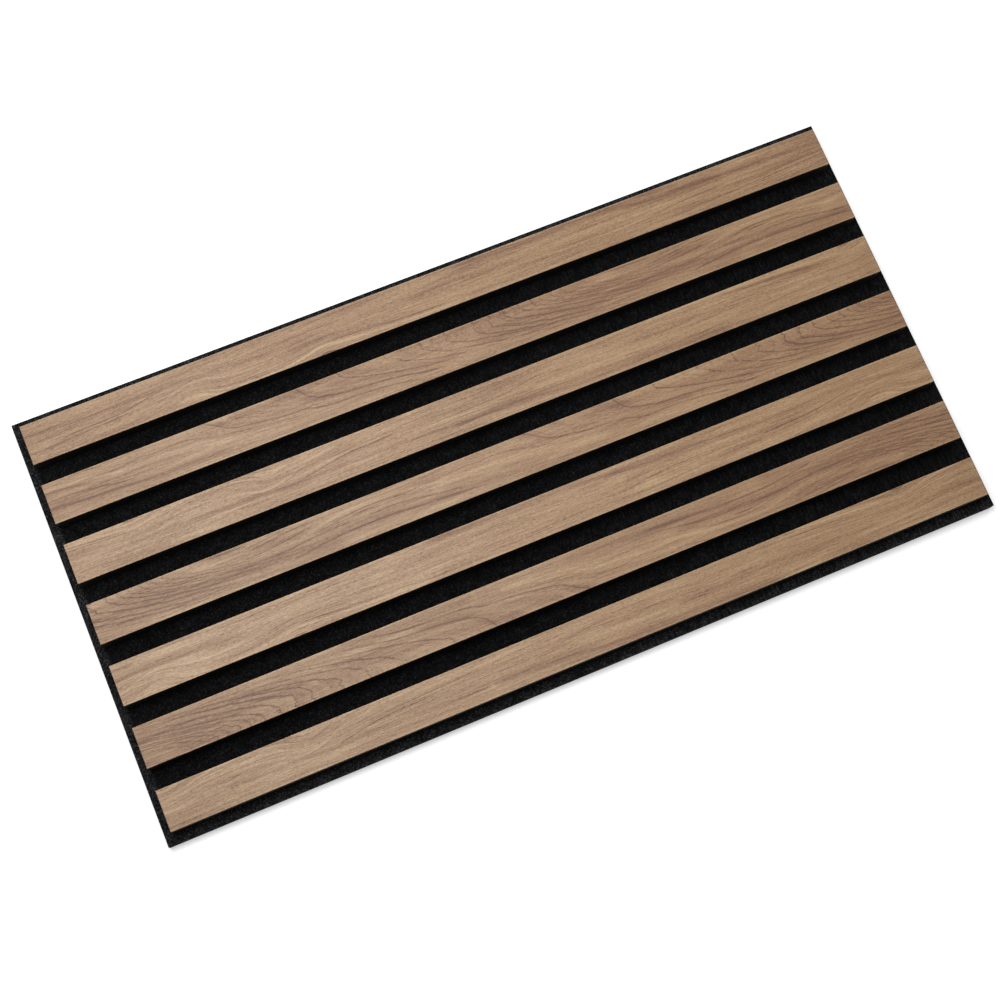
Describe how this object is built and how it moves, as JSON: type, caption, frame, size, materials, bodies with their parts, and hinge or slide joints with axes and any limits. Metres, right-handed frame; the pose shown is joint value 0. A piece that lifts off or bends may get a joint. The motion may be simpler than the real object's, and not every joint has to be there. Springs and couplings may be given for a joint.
{
  "type": "acoustic slat wall panel",
  "caption": "Flat acoustic wall panel: parallel wood-faced black slats with open grooves between them, glued and stapled to a black felt board.",
  "frame": {"origin": "middle of the felt's back, on the plane of the wall", "axes": "+X along the slats, +Y across the slats, +Z out of the wall through the slats' wood faces"},
  "size_m": [0.5576, 0.28, 0.0226],
  "materials": {
    "wood_veneer": "walnut-toned, matt, fine dark grain lines along the slat",
    "black_fibreboard": "black through-dyed fibreboard, matt",
    "felt": "black needled polyester felt, matt",
    "staple_wire": "galvanised wire, satin"
  },
  "bodies": {
    "root": {"felt_backing": "felt", "staples": "staple_wire", "slat_core_1": "black_fibreboard", "slat_veneer_1": "wood_veneer", "slat_core_2": "black_fibreboard", "slat_veneer_2": "wood_veneer", "slat_core_3": "black_fibreboard", "slat_veneer_3": "wood_veneer", "slat_core_4": "black_fibreboard", "slat_veneer_4": "wood_veneer", "slat_core_5": "black_fibreboard", "slat_veneer_5": "wood_veneer", "slat_core_6": "black_fibreboard", "slat_veneer_6": "wood_veneer", "slat_core_7": "black_fibreboard", "slat_veneer_7": "wood_veneer"}
  },
  "joints": []
}
